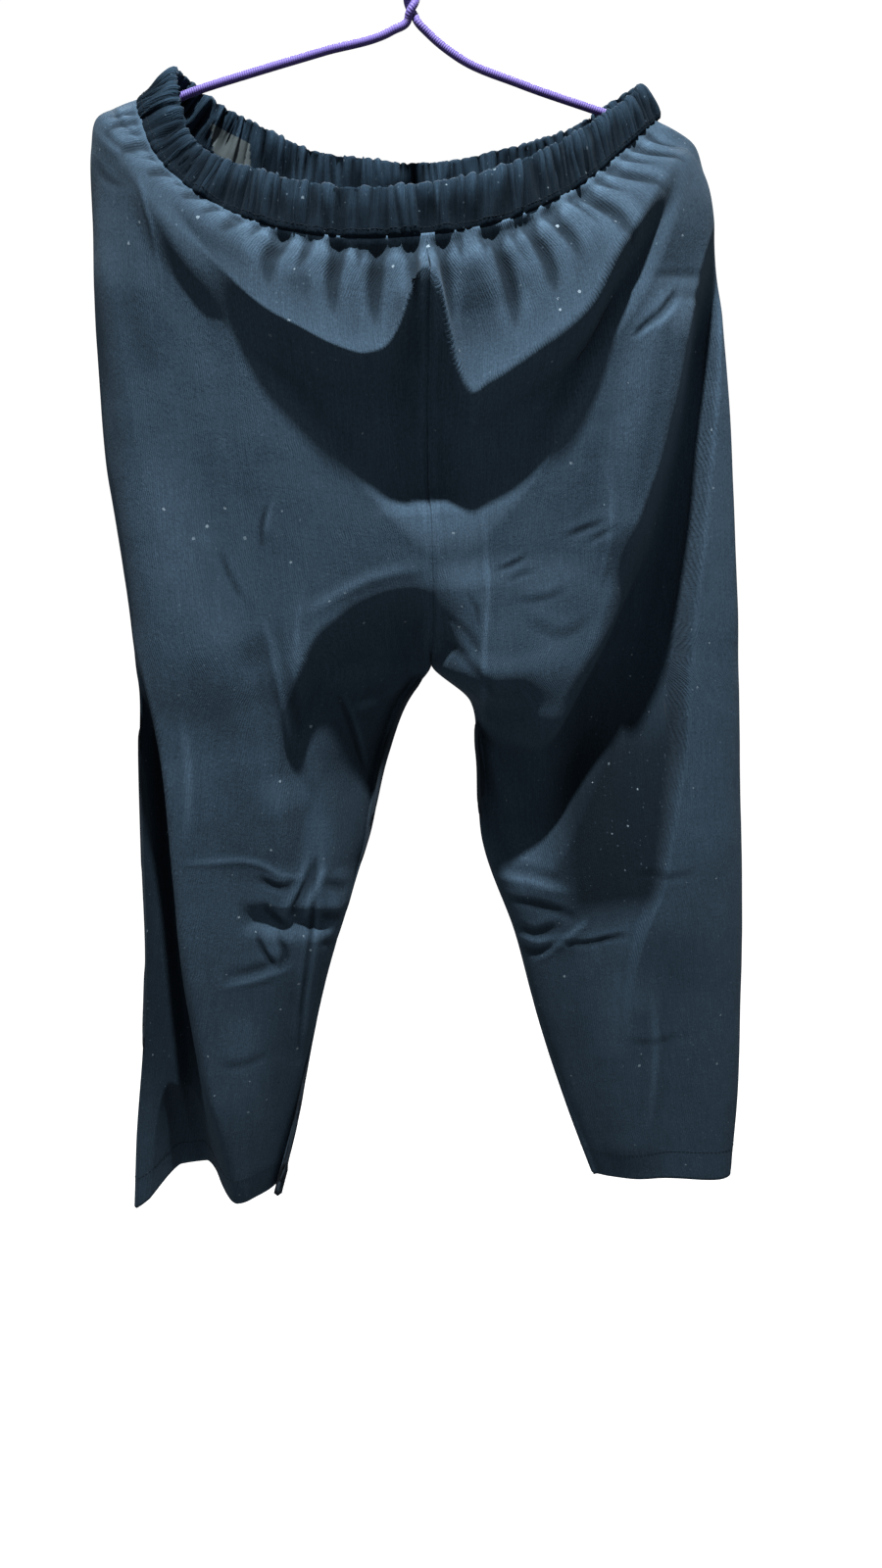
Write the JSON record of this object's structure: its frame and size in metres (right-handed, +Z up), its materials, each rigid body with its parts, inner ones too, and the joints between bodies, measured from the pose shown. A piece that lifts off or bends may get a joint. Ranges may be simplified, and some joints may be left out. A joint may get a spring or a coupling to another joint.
{
  "type": "corduroy joggers on a wire hanger",
  "caption": "Straight-legged corduroy trousers with a gathered elastic waist, hanging open-waisted on a wire hanger.",
  "frame": {"origin": "inner top of the hanger's hook, where it rests on a rail", "axes": "+Z up, -Y towards the garment's front, +X towards the wearer's left"},
  "size_m": [0.517, 0.1991, 0.9889],
  "materials": {
    "waistband": "dark blue needlecord casing, gathered over elastic",
    "front_right": "dark blue needlecord, wales running down the leg",
    "front_left": "dark blue needlecord, wales running down the leg",
    "back_right": "dark blue needlecord, wales running down the leg",
    "back_left": "dark blue needlecord, wales running down the leg",
    "wire_hanger": "violet cord wound tightly over steel wire"
  },
  "bodies": {
    "root": {"waistband": "waistband", "front_right": "front_right", "front_left": "front_left", "back_right": "back_right", "back_left": "back_left", "wire_hanger": "wire_hanger"}
  },
  "joints": []
}
